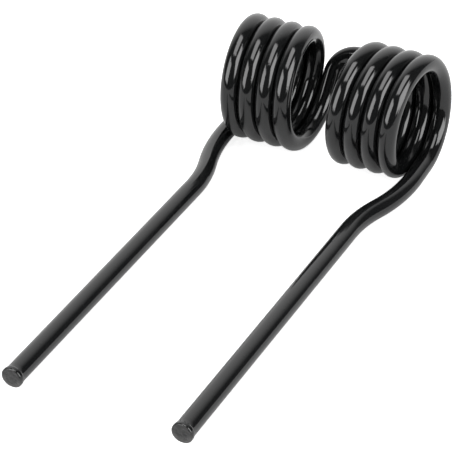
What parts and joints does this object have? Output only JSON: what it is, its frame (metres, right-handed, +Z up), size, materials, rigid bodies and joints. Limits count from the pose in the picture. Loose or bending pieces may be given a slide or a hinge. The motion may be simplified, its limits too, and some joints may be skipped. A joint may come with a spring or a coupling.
{
  "type": "baler pick-up tine",
  "caption": "Double torsion spring tine: straight legs run into close coils joined by a hairpin loop for a clamping bolt.",
  "frame": {"origin": "on the coils' common axis, half way between the two coils", "axes": "+X along the coils' axis, -Y the way the legs point, +Z up with the tine lying on its legs and coils"},
  "size_m": [0.0726, 0.1798, 0.0416],
  "materials": {
    "painted_wire": "gloss"
  },
  "bodies": {
    "root": {"spring_tine": "painted_wire"}
  },
  "joints": []
}
